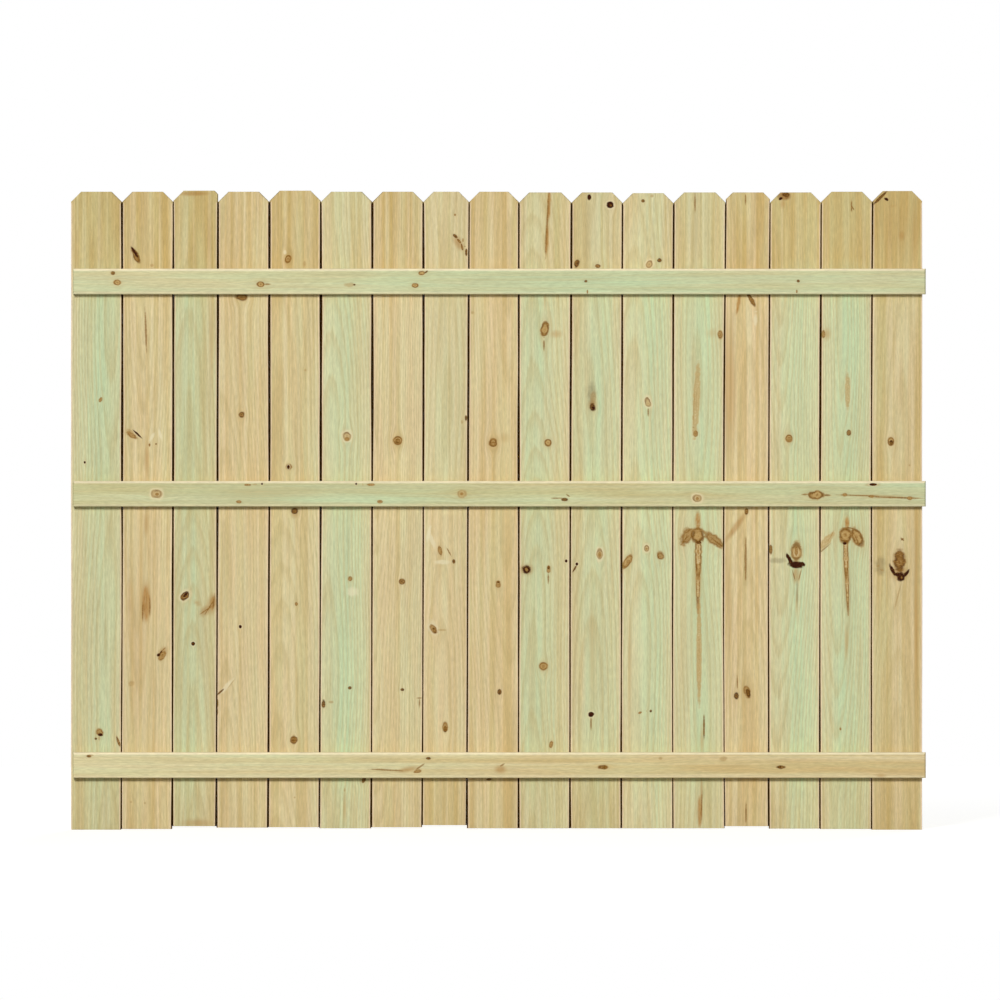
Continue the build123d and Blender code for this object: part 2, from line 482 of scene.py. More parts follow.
def treated_pine(name, figure, streaks, edge_colour, saw_mark_mm):
    """Pine whose grain, rings, stains, marks, painted shade in its joints and pale edges come from the
    board's own attributes.
    """
    material = bpy.data.materials.new(name)
    material.use_nodes = True
    tree = material.node_tree
    tree.nodes.clear()
    math_node, mix, fit = "ShaderNodeMath", "ShaderNodeMix", "ShaderNodeMapRange"
    grain = node(tree, "ShaderNodeAttribute", attribute_name="grain").outputs["Vector"]
    ring = node(tree, "ShaderNodeAttribute", attribute_name="ring").outputs["Fac"]
    stain_and_painted_light = node(tree, "ShaderNodeAttribute", attribute_name="stain_and_painted_light")
    green, honey, joint = node(tree, "ShaderNodeSeparateColor", {0: stain_and_painted_light.outputs["Color"]}).outputs
    flood = node(tree, "ShaderNodeAttribute", attribute_name="resin")
    resin, resin_dark, paleness = node(tree, "ShaderNodeSeparateColor", {0: flood.outputs["Color"]}).outputs

    noises = []
    for sizes, detail in ((CLOUD_MM, 1.0), (BAND_MM, 1.0), (STREAK_MM, 2.0), (FIBRE_MM, 3.0)):
        scaled = node(tree, "ShaderNodeVectorMath", {
            0: grain, 1: tuple(1 / size for size in sizes)}, operation="MULTIPLY")
        noise = node(tree, "ShaderNodeTexNoise", {"Vector": scaled, "Scale": 1.0, "Detail": detail})
        noises.append(noise.outputs[0])
    cloud, band, streak, fibre = noises

    wavy = node(tree, math_node, {0: streak, 1: RING_WAVER, 2: ring}, operation="MULTIPLY_ADD")
    phase = node(tree, math_node, {0: wavy}, operation="FRACT")
    late = node(tree, "ShaderNodeValToRGB", {0: phase})
    ramp = late.color_ramp
    ramp.interpolation = "EASE"
    for position, level in LATEWOOD_STOPS:
        stop = ramp.elements.new(position)
        stop.color = (level, level, level, 1)
    ramp.elements[0].color = ramp.elements[-1].color = (0, 0, 0, 1)
    latewood = node(tree, math_node, {0: late.outputs[0], 1: figure}, operation="MULTIPLY")

    warm = node(tree, fit, enumerate((band, *HONEY_SWING)))
    honeyed = node(tree, math_node, {0: honey, 1: warm}, operation="ADD", use_clamp=True)
    banded = node(tree, fit, enumerate((band, *GREEN_SWING)))
    wash = node(tree, fit, enumerate((cloud, *GREEN_WASH)))
    greened = node(tree, math_node, {
        0: green, 1: banded, 2: wash}, operation="MULTIPLY_ADD", use_clamp=True)
    rosy = node(tree, fit, enumerate((streak, *PEACH_SHARE)))
    flecks = node(tree, fit, enumerate((fibre, *PITCH_FLECKS)))
    pitchy = node(tree, math_node, {0: resin_dark, 1: flecks}, operation="ADD", use_clamp=True)
    amber = node(tree, mix, {0: pitchy, 6: linear(RESIN_AMBER), 7: linear(RESIN_DARK)}, data_type="RGBA")
    speckled = node(tree, fit, enumerate((fibre, *RESIN_SPECKLE)))
    soaked = node(tree, math_node, {0: resin, 1: speckled}, operation="MULTIPLY", use_clamp=True)

    colour = linear(STRAW)
    for share, tint in (
        (honeyed, linear(HONEY)),
        (greened, linear(MINT)),
        (latewood, linear(LATEWOOD)),
        (rosy, linear(PEACH)),
        # Pale edges; on the rails a painted highlight along the top edge.
        (stain_and_painted_light.outputs["Alpha"], linear(edge_colour)),
        (soaked, amber.outputs[2]),
    ):
        colour = node(tree, mix, {0: share, 6: colour, 7: tint}, data_type="RGBA").outputs[2]
    streak_tones = (*PATTERN_SPAN, 1 - streaks, 1 + streaks)
    tones = [
        node(tree, fit, enumerate(ranged))
        for ranged in ((streak, *streak_tones), (fibre, *FIBRE_TONES), (cloud, *CLOUD_TONES))
    ]
    for tone in (*tones, paleness):
        toned = node(tree, mix, {0: 1.0, 6: colour, 7: tone}, data_type="RGBA", blend_type="MULTIPLY")
        colour = toned.outputs[2]

    wobble, grit = (
        node(tree, "ShaderNodeTexNoise", {"Vector": grain, "Scale": 1 / size, "Detail": 2.0}).outputs[0]
        for size in (KNOT_WOBBLE_MM, KNOT_GRIT_MM))
    ragged = node(tree, fit, enumerate((wobble, *KNOT_RAGGED)))
    patchy = node(tree, fit, enumerate((grit, *KNOT_PATCHY)))
    broken = node(tree, fit, enumerate((wobble, *RIM_BREAKS)))
    height = node(tree, math_node, {
        0: late.outputs[0], 1: LATEWOOD_RELIEF, 2: fibre}, operation="MULTIPLY_ADD")
    for index in range(MARK_LAYERS):
        at = node(tree, "ShaderNodeAttribute", attribute_name=f"mark_{index}_at").outputs["Vector"]
        look = node(tree, "ShaderNodeAttribute", attribute_name=f"mark_{index}_look")
        solid, darkness, rim = node(tree, "ShaderNodeSeparateColor", {0: look.outputs["Color"]}).outputs
        away = node(tree, "ShaderNodeVectorMath", {0: at}, operation="LENGTH").outputs["Value"]
        reach = node(tree, math_node, {0: away, 1: ragged}, operation="ADD")
        soft = look.outputs["Alpha"]
        outer = node(tree, math_node, {0: soft, 1: 0.5, 2: 1.0}, operation="MULTIPLY_ADD")
        inner = node(tree, math_node, {0: soft, 1: -0.5, 2: 1.0}, operation="MULTIPLY_ADD")
        halo, inside, rising, falling = (
            node(tree, fit, {0: reach, 1: start, 2: end, 3: 0.0, 4: 1.0}, interpolation_type="SMOOTHSTEP")
            for start, end in (HALO_REACH, (outer, inner), RIM_RISE, RIM_FALL))
        crispness = node(tree, fit, enumerate((soft, *HALO_BY_SOFTNESS)))
        bleached = node(tree, math_node, {0: halo, 1: rim}, operation="MULTIPLY")
        glare = node(tree, math_node, {0: bleached, 1: crispness}, operation="MULTIPLY")
        colour = node(tree, mix, {0: glare, 6: colour, 7: linear(HALO)}, data_type="RGBA").outputs[2]
        fill = node(tree, math_node, {0: inside, 1: solid}, operation="MULTIPLY")
        round_it = node(tree, math_node, {0: rising, 1: falling}, operation="MULTIPLY")
        parted = node(tree, math_node, {0: round_it, 1: broken}, operation="MULTIPLY")
        ringed = node(tree, math_node, {0: parted, 1: rim}, operation="MULTIPLY")
        core = node(tree, fit, enumerate((reach, *HEART_DARKNESS)))
        turns = node(tree, math_node, {0: reach, 1: WHORL_RATE}, operation="MULTIPLY")
        wave = node(tree, math_node, {0: turns}, operation="COSINE")
        growth = node(tree, math_node, {0: wave, 1: rim}, operation="MULTIPLY")
        whorled = node(tree, math_node, {
            0: growth, 1: WHORL_DARKNESS, 2: darkness}, operation="MULTIPLY_ADD")
        deep = node(tree, math_node, {0: whorled, 1: core}, operation="ADD")
        depth = node(tree, math_node, {0: deep, 1: patchy}, operation="MULTIPLY")
        burnt = node(tree, math_node, {
            0: ringed, 1: RIM_DARKNESS, 2: depth}, operation="MULTIPLY_ADD", use_clamp=True)
        heart = node(tree, "ShaderNodeValToRGB", {0: burnt})
        heart.color_ramp.elements[0].color = linear(SCRAPED)
        heart.color_ramp.elements[1].color = linear(KNOT_BLACK)
        for position, tint in KNOT_STOPS:
            heart.color_ramp.elements.new(position).color = linear(tint)
        covered = node(tree, math_node, {0: fill, 1: ringed}, operation="MAXIMUM")
        colour = node(tree, mix, {0: covered, 6: colour, 7: heart.outputs[0]}, data_type="RGBA").outputs[2]
        height = node(tree, math_node, {0: ringed, 1: RIM_SINK, 2: height}, operation="MULTIPLY_ADD")

    # Painted shade in the joints: the sides of the boards turn amber, then dark brown, where the gaps lie
    # in shade.
    amber_shading = node(tree, math_node, {0: joint, 1: JOINT_AMBER_SHADING}, operation="MULTIPLY", use_clamp=True)
    shaded = node(tree, math_node, {0: joint, 1: joint}, operation="MULTIPLY")
    for share, tint in ((amber_shading, JOINT_AMBER), (shaded, JOINT_SHADE)):
        colour = node(tree, mix, {0: share, 6: colour, 7: linear(tint)}, data_type="RGBA").outputs[2]

    saw_scales = tuple(1 / size for size in (*SAW_MARK_MM, saw_mark_mm))
    cuts = node(tree, "ShaderNodeVectorMath", {0: grain, 1: saw_scales}, operation="MULTIPLY")
    saw = node(tree, "ShaderNodeTexNoise", {"Vector": cuts, "Scale": 1.0, "Detail": 1.0}).outputs[0]
    rough = node(tree, math_node, {0: saw, 1: SAW_RELIEF, 2: height}, operation="MULTIPLY_ADD")
    bump = node(tree, "ShaderNodeBump", {
        "Strength": RELIEF_STRENGTH, "Distance": RELIEF_HEIGHT, "Height": rough})
    wood = node(tree, "ShaderNodeBsdfPrincipled", {
        "Base Color": colour, "Roughness": WOOD_ROUGHNESS, "Specular IOR Level": WOOD_SPECULAR,
        "Normal": bump})
    node(tree, "ShaderNodeOutputMaterial", {"Surface": wood})
    return material


# Planed, the rails show a faint figure and thin streaks, and pale edges: a painted highlight, strongest on
# top.
rail_pine = treated_pine(
    "planed_treated_pine", figure=0.10, streaks=0.04, edge_colour="#EEE1BB", saw_mark_mm=3.5)
board_tree = sawn_board_tree()
RAIL_RINGS_MM = 7.0
RAIL_SEED = 40
# How much of the pale edge colour a rail's top and bottom edges take: a painted highlight, strongest on
# top.
RAIL_EDGE_HIGHLIGHT = (1.0, 0.4)
# How the stains come and go along a rail, as a share and lengths in millimetres.
GREEN_WAVE = 0.25
GREEN_WAVE_MM = (310, 60)
HONEY_WAVE = 0.1
HONEY_WAVE_MM = 420

# Marks are (x, y) in the photo, then width and height in millimetres, look and lean.
RAIL_MARKS = {
    "top_rail": (
        (113.4, 273.2, 13, 11, DEEP), (117.7, 282.8, 20, 16, RIMMED), (261, 284.5, 24, 16, RIMMED),
        (267.5, 284.5, 18, 5, CRACK), (350, 285, 30, 12, FAINT), (354.7, 285, 7, 6, DARK),
        (421.6, 273.3, 18, 12, RIMMED), (426.2, 272.3, 11, 4.5, DARK, 40), (415.3, 285.8, 19, 13, RIMMED),
        (585.9, 281.5, 9, 7, DARK), (587.3, 292, 5, 11, TAN), (797.8, 281.4, 9, 8, DARK),
        (796.5, 291.7, 5, 10, TAN),
    ),
    "middle_rail": (
        (157, 493.8, 30, 24, RING), (157.4, 494.2, 10, 8, TAN), (239.1, 501.8, 15, 9, TAN),
        (262, 494, 330, 56, WARM), (248, 484.9, 22, 6, TAN), (262.3, 483.9, 6, 6, BLACK),
        (255, 484.5, 16, 5, FAINT), (356.4, 483.9, 6, 6, BLACK), (370.5, 484.7, 24, 7, TAN),
        (380.3, 501.6, 16, 9, TAN), (461.7, 493.8, 29, 22, EYE), (461.7, 493.8, 9, 7, TAN),
        (564.4, 499.6, 18, 9, DARK), (556.5, 498.2, 34, 4, CRACK), (568, 495.5, 14, 4, CRACK, -35),
        (696.7, 498.3, 26, 20, RING), (697, 498.6, 9, 8, TAN), (815.5, 495, 50, 25, RIMMED),
        (804.5, 494.4, 20, 5, CRACK), (827, 495.2, 20, 5, CRACK), (857, 495.4, 110, 4, CRACK, -1.5),
        (897, 497.6, 150, 5, CRACK, -2), (885, 496.8, 200, 12, STAIN, -2), (844.6, 494.8, 13, 9, TAN),
        (870.6, 496.4, 18, 8, TAN), (909, 498.2, 14, 10, KNOT), (872.7, 484.8, 40, 8, FAINT),
        (872.7, 484.5, 20, 7, BLACK),
    ),
    "bottom_rail": (
        (89.4, 755.8, 14, 8, DEEP), (91.5, 755, 16, 5, FAINT), (428.5, 758, 14, 8, DARK),
        (417.7, 771, 22, 10, TAN, 12), (386, 769.6, 92, 5, CRACK, -3), (420, 766.5, 30, 5, CRACK, 35),
        (408, 769, 70, 16, SMEAR, 12), (500.5, 769, 36, 26, SMEAR), (502.5, 764.5, 16, 5, CRACK, 30),
        (603, 766.9, 26, 12, DEEP), (604.8, 766.8, 10, 6, DEEP), (660.2, 758, 10, 8, FAINT),
        (723.3, 758.6, 20, 13, FAINT), (780.6, 766.8, 28, 11, DEEP), (779, 766.6, 12, 6, DARK),
        (880.6, 775.3, 34, 12, STAIN),
    ),
}

# Each rail's pith, as across, depth and slope, then at its left and right ends its green and honey stains
# and how pale it is.
RAILS = {
    "top_rail": ((1480, 60, 0.004), (0.62, 0.70), (0.05, 0.22), (1.02, 1.02)),
    "middle_rail": ((1010, 45, -0.006), (0.52, 0.60), (0.74, 0.20), (1.0, 1.02)),
    "bottom_rail": ((120, 55, 0.005), (0.36, 0.00), (0.00, 0.28), (1.07, 1.03)),
}
for number, (name, (pith, greens, honeys, tones)) in enumerate(RAILS.items()):
    low, high = (np.array(corner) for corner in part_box(name))
    middle = (low + high) / 2
    rise = (high[2] - low[2]) / 2
    rail = grown(f"{name}_pine", board_tree, {
        "Length": high[0] - low[0], "Thickness": high[1] - low[1], "Arris": RAIL_ARRIS,
        "Left Foot": -rise, "Left Head": -rise, "Right Foot": rise, "Right Head": rise,
        "Columns": RAIL_CELLS[0], "Rows": RAIL_CELLS[1],
        "Turn": (0.0, math.pi / 2, 0.0), "Place": (low[0], middle[1], middle[2]), "Timber": rail_pine,
    })
    marks = [photo_mark(*mark, upright=False) for mark in RAIL_MARKS[name]]
    ends = [low[0] / MM, high[0] / MM]

    def rail_stains(across, along):
        """Green sapwood along the rail, with slow changes to honey."""
        green = np.interp(along, ends, greens)
        green = green * (1 + GREEN_WAVE * np.sin(along / GREEN_WAVE_MM[0] + across / GREEN_WAVE_MM[1]))
        honey = np.interp(along, ends, honeys) + HONEY_WAVE * np.sin(along / HONEY_WAVE_MM + 1)
        return np.clip(green, 0, 1), honey, np.interp(along, ends, tones)

    grain_board(
        rail, 0, 2, marks, pith, RAIL_RINGS_MM, rail_stains, seed=RAIL_SEED + number, pale=RAIL_EDGE_HIGHLIGHT)
    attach(rail, "root")
    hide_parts(name)

# Pickets: sawn pine boards with both top corners clipped, set edge to edge across the rails.
# Their joints have opened on the rail side as the wood dried. Three boards were ripped narrower.

PICKETS = [f"picket_{number:02d}" for number in range(1, 18)]
PICKET_ARRIS = 1.0 * MM
# Points of the mesh across and along a picket.
PICKET_CELLS = (35, 290)
# A picket's street face lies this far inside its box, so that the staples' crowns show.
STAPLE_ROOM = 0.4 * MM
DOG_EAR = 29.0 * MM
RIPPED_EARS = {3: (29.0 * MM, 9.5 * MM), 14: (19.2 * MM, 19.2 * MM)}
JOINT_WANDER = 0.7 * MM
JOINT_SEED_STEP = 3.7
LAYOUT_SEED = 17
# Where a board's pith may lie: share of the width, depth in millimetres, slope.
PITH_ACROSS = (0.1, 0.9)
PITH_DEPTH_MM = (40, 95)
PITH_SLOPE = (-0.05, 0.05)

# Each joint: how far its line leans to the right at the foot and the head, how far it bows to the right
# between them, and how wide it gapes at the foot and the head.
JOINTS = (
    (-1.5, 1.0, 2.0, 3.8, 4.2), (-2.5, 0.5, 1.0, 5.6, 3.8), (-3.5, 1.5, 0.5, 5.0, 4.4),
    (-2.5, 1.2, 1.5, 5.0, 5.1), (-3.0, 1.8, 1.6, 4.0, 5.0), (-1.5, 1.5, 1.5, 4.0, 5.1),
    (-2.5, 1.0, 1.8, 4.0, 4.2), (-2.0, 4.5, 0.0, 5.7, 3.2), (-1.0, 0.0, 0.0, 5.5, 4.7),
    (-0.5, 4.0, -1.6, 4.4, 4.4), (-1.0, 3.0, -1.0, 5.5, 3.6), (-0.5, 2.5, -1.8, 3.2, 3.8),
    (1.0, 5.0, -5.0, 3.0, 3.5), (0.0, 4.0, -2.6, 4.2, 3.2), (-1.0, 3.5, -1.9, 4.2, 4.0),
    (0.0, 3.0, -2.0, 3.4, 4.0),
)

# Each board's stain: green above and below the middle rail, honey at head, body and foot, and where
# across the board the green is strongest, from its left edge, 0, to its right, 1.
BOARD_STAINS = (
    (0.68, 0.52, 1.00, 0.10, 0.45, 0.62), (0.10, 0.05, 0.72, 0.18, 0.40, 0.80),
    (0.55, 0.52, 0.95, 0.38, 0.48, 0.35), (0.05, 0.05, 0.42, 0.12, 0.30, 0.50),
    (0.18, 0.15, 0.60, 0.18, 0.20, 0.85), (0.60, 0.70, 0.35, 0.02, 0.18, 0.45),
    (0.08, 0.15, 0.60, 0.10, 0.25, 0.80), (0.28, 0.05, 0.15, 0.06, 0.50, 0.50),
    (0.02, 0.02, 0.48, 0.22, 0.38, 0.50), (0.55, 0.58, 0.46, 0.08, 0.15, 0.35),
    (0.56, 0.52, 0.34, 0.04, 0.50, 0.55), (0.62, 0.60, 0.28, 0.00, 0.12, 0.60),
    (0.68, 0.62, 0.42, 0.00, 0.24, 0.60), (0.00, 0.00, 0.70, 0.18, 0.36, 0.50),
    (0.62, 0.62, 0.98, 0.00, 0.34, 0.60), (0.76, 0.70, 1.10, 0.03, 0.30, 0.55),
    (0.10, 0.08, 1.30, 0.44, 0.58, 0.30),
)

# How pale each board is along its left edge and its right.
BOARD_TONES = (
    (0.97, 0.98), (0.96, 1.02), (0.98, 0.98), (0.97, 1.01), (1.01, 1.01), (1.03, 1.03), (1.01, 1.00),
    (1.03, 0.97), (0.99, 1.03), (1.00, 1.04), (1.01, 1.04), (1.06, 1.06), (1.03, 1.08), (1.02, 1.04),
    (1.03, 1.10), (1.07, 1.04), (1.02, 1.00),
)

# Heights in millimetres between which the stains change, at the head, the middle rail and the foot.
GREEN_HEIGHTS = (60, 200, 880, 1020, 1510, 1640)
HONEY_HEIGHTS = (0, 130, 220, 1500, 1620, 1800)
TONE_HEIGHTS = (130, 220, 1500, 1640)
HEIGHT_TONES = (0.983, 1.0, 1.0, 0.985)
# Shares of the stains that are left towards a board's ends, and how the green fades across it.
END_GREEN = 0.6
HONEYED_GREEN_LOSS = 0.45
FOOT_HONEY = 0.8
HEAD_HONEY = 0.85
SAPWOOD_LEAST = 0.45
SAPWOOD_RISE = 0.75
SAPWOOD_WIDTH = 0.38

# Marks as on the rails, by the picket's number.
PICKET_MARKS = {
    1: (
        (100.6, 399.7, 9, 16, TAN, -20), (84.7, 462.4, 6, 8, BLACK), (99.8, 732.4, 22, 22, TAN),
        (100.2, 734.6, 14, 9, CHAR), (99.2, 738.4, 7, 12, FAINT), (95.9, 738.7, 8, 7, DARK),
        (118.4, 741.6, 8, 30, DEEP, 20),
    ),
    2: (
        (136, 256, 16, 48, DEEP, 25), (134.6, 252, 7, 34, CHAR, 32), (152, 265.4, 10, 9, FAINT),
        (145.8, 330, 6, 125, CRACK, 2), (132, 435.3, 14, 34, TAN, 58), (130, 431.5, 12, 24, FAINT, 58),
        (137.2, 433.8, 5, 36, CHAR, 47), (152, 437, 9, 26, PALE, -30), (160, 434, 8, 32, PALE, 15),
        (149.5, 445, 5, 8, DEEP), (156, 444, 5, 5, DEEP), (147, 460, 14, 110, STAIN),
        (146, 524, 14, 80, STAIN), (146, 602, 36, 140, SMEAR), (146, 603, 24, 112, RESIN),
        (142.6, 612, 5, 52, CRACK), (146.4, 600, 4, 66, FAINT), (149.8, 606, 5, 56, CRACK),
        (130, 590, 22, 80, WARM), (130, 604, 22, 90, WARM), (162.5, 653, 28, 46, SMEAR, -35),
        (162.2, 655.8, 17, 31, TAN, -30), (158.5, 654.9, 8, 10, CHAR, -40), (161, 652, 4, 14, DARK, -35),
        (163.6, 649.3, 4, 16, CRACK, -45), (131.5, 683.4, 15, 16, FAINT, -30), (131, 802, 6, 6, FAINT),
        (145, 803, 6, 6, FAINT), (142, 640, 130, 760, TINGE),
    ),
    3: (
        (185.2, 595.5, 19, 30, LOOSE, -40), (185.4, 595, 7, 14, CHAR, -40), (212, 604, 30, 66, SMEAR, -8),
        (213, 603, 17, 44, RESIN, -8), (206.5, 610, 28, 52, SMEAR, -50), (213.6, 602, 5, 40, CRACK, -6),
        (209.5, 607, 4, 50, CRACK, -32), (205.5, 610.5, 4, 40, CRACK, -56), (197, 603, 14, 30, STAIN, 60),
        (193.1, 643.7, 11, 11, BLACK), (211, 330, 15, 420, WARM), (209, 240, 10, 160, WARM),
        (193, 193.5, 96, 16, SMEAR), (197, 823, 96, 26, STAIN),
    ),
    4: (
        (241.6, 297, 36, 22, DEEP), (241.6, 294, 20, 12, TAN), (241.6, 414.6, 17, 18, DEEP),
        (240.3, 626.5, 8, 10, BLACK), (226.5, 686.5, 12, 50, PALE, -42), (220.8, 691.6, 5, 24, DARK, -47),
        (231, 684, 3, 30, FAINT, -38), (217.4, 703.6, 5, 24, DARK), (217.2, 711.4, 5, 22, DARK),
    ),
    5: (
        (288, 259, 18, 25, RIMMED, -15), (288, 259.8, 9, 14, TAN, -15), (285, 252.5, 9, 12, PALE),
        (304.6, 263.7, 8, 18, FAINT), (305.4, 370, 7, 8, FAINT), (288.8, 466.8, 19, 19, TAN),
        (288.4, 467, 8, 12, BLACK), (294.6, 511, 22, 16, DARK), (294.6, 514, 24, 26, STAIN),
        (296.3, 604, 9, 11, TAN), (293.8, 739.5, 19, 27, DEEP), (293.8, 739.4, 9, 13, DEEP),
        (294.7, 797.5, 5, 5, FAINT),
    ),
    6: (
        (347, 436, 22, 27, RING), (347, 439, 12, 10, TAN), (350.2, 578.4, 13, 15, TAN),
        (353, 592, 30, 26, PALE), (349.7, 688, 10, 9, DARK), (323.4, 703.8, 11, 24, DARK),
        (331, 702, 12, 8, FAINT), (363.8, 779.3, 20, 10, DARK, 70), (344.6, 790, 5, 10, FAINT),
        (344.4, 808, 10, 110, STAIN),
    ),
    7: (
        (397.8, 440.5, 25, 27, RIMMED), (397.8, 441, 13, 14, DEEP), (397.8, 440.5, 40, 36, WARM),
        (402, 581.7, 17, 18, DEEP), (402.3, 689.7, 11, 9, DARK), (419.4, 698, 16, 4, CRACK),
        (419.4, 703, 4, 26, CRACK),
    ),
    8: (
        (458.5, 243, 26, 56, SMEAR, 32), (455.2, 236, 8, 16, DARK, 50), (459, 241, 6, 16, DEEP, 40),
        (462, 247, 6, 20, DEEP, 12), (466.3, 252.5, 7, 20, DARK), (463, 240, 4, 10, TAN),
        (455, 214.8, 6, 7, TAN), (466, 418, 6, 16, DARK), (462, 422, 6, 10, FAINT),
        (440.1, 550.6, 12, 29, TAN, 12), (449, 552, 4, 28, CRACK, 30), (453.7, 561.4, 8, 12, DARK),
        (442, 562, 40, 12, PALE), (432, 540, 12, 44, PALE, 20), (428.5, 534, 9, 46, PALE, -14),
        (433, 628, 24, 44, PALE, 30), (433.5, 629, 17, 32, TAN, 30), (434.5, 630.5, 8, 16, DEEP, 30),
        (442, 630, 24, 5, FAINT), (445.1, 727, 16, 32, TAN), (445.3, 729.2, 9, 17, DEEP),
    ),
    9: (
        (493.2, 443, 25, 27, RIMMED), (493.2, 443.6, 13, 14, TAN), (504, 438, 40, 34, WARM),
        (472.5, 312.7, 8, 8, FAINT), (498.2, 584.2, 16, 20, TAN, 10), (498.4, 582, 7, 7, DARK),
        (499.5, 692, 11, 16, DARK), (489, 779.3, 16, 8, DARK),
    ),
    10: (
        (549, 205, 10, 90, RESIN, -2), (546.8, 240, 10, 90, RESIN, -2), (547, 225, 6, 190, CRACK, -3),
        (544.6, 300, 5, 70, STAIN), (544.8, 329, 24, 47, RIMMED, -8), (544.8, 329, 8, 20, EYE, -8),
        (544, 345, 5, 30, CRACK), (556, 334, 40, 26, STAIN), (548, 442.5, 21, 23, RIMMED),
        (526.5, 569.5, 26, 22, CHAR, -35), (526.5, 569.5, 12, 8, TAN, -55), (526.5, 569.5, 44, 34, SMEAR),
        (548.6, 569.3, 11, 22, TAN), (548.6, 567.5, 6, 10, DARK), (548.3, 579, 5, 30, CRACK),
        (543.3, 666.4, 24, 26, KNOT), (543.3, 666.4, 34, 36, STAIN), (543.3, 666.4, 8, 8, TAN),
        (551.2, 744.5, 11, 22, TAN, -15), (566.2, 561, 7, 8, BLACK),
    ),
    11: (
        (589.2, 197.4, 11, 15, CHAR), (610.2, 205, 20, 18, BLACK), (610.6, 205.4, 8, 7, DARK),
        (576.8, 263.7, 14, 22, DARK, -15), (598, 266.2, 15, 12, DEEP), (591.8, 393, 26, 56, SOOT),
        (592.4, 405, 28, 36, SMEAR), (593.3, 397, 17, 34, FAINT), (592.6, 407.4, 17, 22, DARK),
        (593.2, 408, 9, 11, CHAR), (574.8, 568.4, 5, 24, DARK, -32), (576.9, 564, 8, 9, BLACK),
        (599.7, 553.8, 17, 30, RING), (599.7, 554.5, 8, 16, TAN), (592, 660, 22, 420, WARM),
        (591, 714.6, 16, 16, BLACK), (591, 724, 5, 34, CRACK),
    ),
    12: (
        (643, 201, 10, 10, DEEP), (652, 196, 8, 8, FAINT), (649.4, 264.2, 17, 24, RING, -25),
        (659.4, 260.4, 13, 13, DARK), (647.8, 402, 17, 28, RING, 12), (648.2, 412, 5, 26, CRACK),
        (627.4, 561.8, 19, 46, RIMMED, -32), (627.4, 564, 6, 26, TAN, -34), (646.6, 548, 15, 20, RING),
        (646.6, 548.6, 5, 7, TAN), (660.7, 556, 21, 25, TAN, 25), (658.2, 556, 5, 18, CRACK, 15),
        (630, 660, 10, 330, WARM), (640, 712.6, 11, 6, TAN, 20), (650.8, 711, 7, 8, DARK),
    ),
    13: (
        (695, 204, 5, 54, CRACK), (720.2, 335, 15, 26, TAN), (712, 333, 40, 30, WARM),
        (696.4, 400, 19, 218, GUM, -3), (694, 408, 3, 90, FAINT, -3), (695.7, 433.7, 13, 17, TAN),
        (697.8, 521, 16, 58, RESIN), (698, 575, 20, 264, SMEAR), (687, 536.5, 33, 54, TAN, -28),
        (714, 540, 27, 70, TAN, 54), (698, 576, 12, 222, STEM), (698.3, 553, 20, 150, STEM),
        (697.8, 535.6, 40, 46, RIMMED), (698.8, 542.4, 14, 9, DARK, 10), (684.6, 540.2, 4, 34, CRACK, -38),
        (718.4, 543.4, 5, 38, CRACK, 52), (688.6, 531, 4, 22, CRACK, -52), (698.6, 655, 17, 290, STAIN),
        (699.1, 651, 14, 320, GUM), (704, 727, 5, 66, DEEP), (702, 740, 12, 110, STAIN),
        (701.6, 790, 9, 90, SMEAR), (699.8, 812, 14, 96, RESIN), (701.6, 806, 4, 80, CRACK, -2),
    ),
    14: (
        (751.2, 299.5, 12, 46, DEEP, 30), (738.5, 303, 9, 70, RESIN, -10), (755.6, 320, 12, 30, PALE),
        (745.5, 199, 5, 28, CRACK), (746.5, 511.5, 11, 18, DEEP), (735.5, 527.5, 20, 120, SMEAR, -36),
        (745.6, 560, 7, 135, CRACK), (737.3, 682, 4, 40, CRACK), (736.3, 695.5, 15, 22, DARK),
        (747, 691, 19, 36, TAN, 12), (748.2, 693, 12, 24, DARK, 14), (746, 813, 5, 70, CRACK),
        (729, 390, 42, 470, STAIN), (728.5, 600, 20, 600, WARM),
    ),
    15: (
        (784, 196, 40, 26, HEART), (786, 194.5, 20, 13, DARK), (780.5, 198.7, 12, 8, CHAR, 30),
        (783, 204, 16, 30, STAIN), (789, 438.3, 20, 22, RIMMED), (789.3, 439, 11, 12, TAN),
        (770.8, 549.4, 9, 28, DEEP), (777, 560.5, 50, 15, SOOT), (796.3, 575, 26, 56, SMEAR),
        (796.1, 552, 40, 72, SMEAR), (796.3, 551.8, 31, 58, STEM), (796.3, 550.5, 9, 30, TAN),
        (789.4, 559, 11, 38, CHAR, 30), (796.2, 564.8, 42, 19, CHAR, -6), (802.6, 564.2, 15, 11, CHAR, -24),
        (793.8, 575.5, 3, 32, CRACK, 17), (800, 575, 3, 32, CRACK, -15), (797.2, 592, 7, 74, SOOT),
        (797, 604, 9, 110, STAIN),
    ),
    16: (
        (851.5, 206, 5, 32, CRACK), (852.5, 207.5, 4, 18, CRACK, 35), (823.4, 334, 10, 24, TAN),
        (827, 334, 26, 40, STAIN), (847.6, 391.5, 14, 104, GUM), (848.8, 433, 13, 17, DEEP),
        (847.1, 523, 12, 40, RESIN), (846.6, 574, 20, 264, SMEAR, 2), (851, 534, 60, 44, SMEAR),
        (846.9, 577, 10, 220, STEM, 2), (845.9, 554, 15, 150, STEM, 1), (857.4, 537.4, 30, 58, RIMMED, 26),
        (845.4, 535.5, 36, 48, RIMMED), (844.7, 543.3, 11, 8, CHAR), (856.8, 539.5, 4, 32, CRACK, 24),
        (850.5, 528, 24, 4, CRACK, -14), (846.6, 640, 12, 120, STAIN), (826.5, 541, 22, 62, GUM, -40),
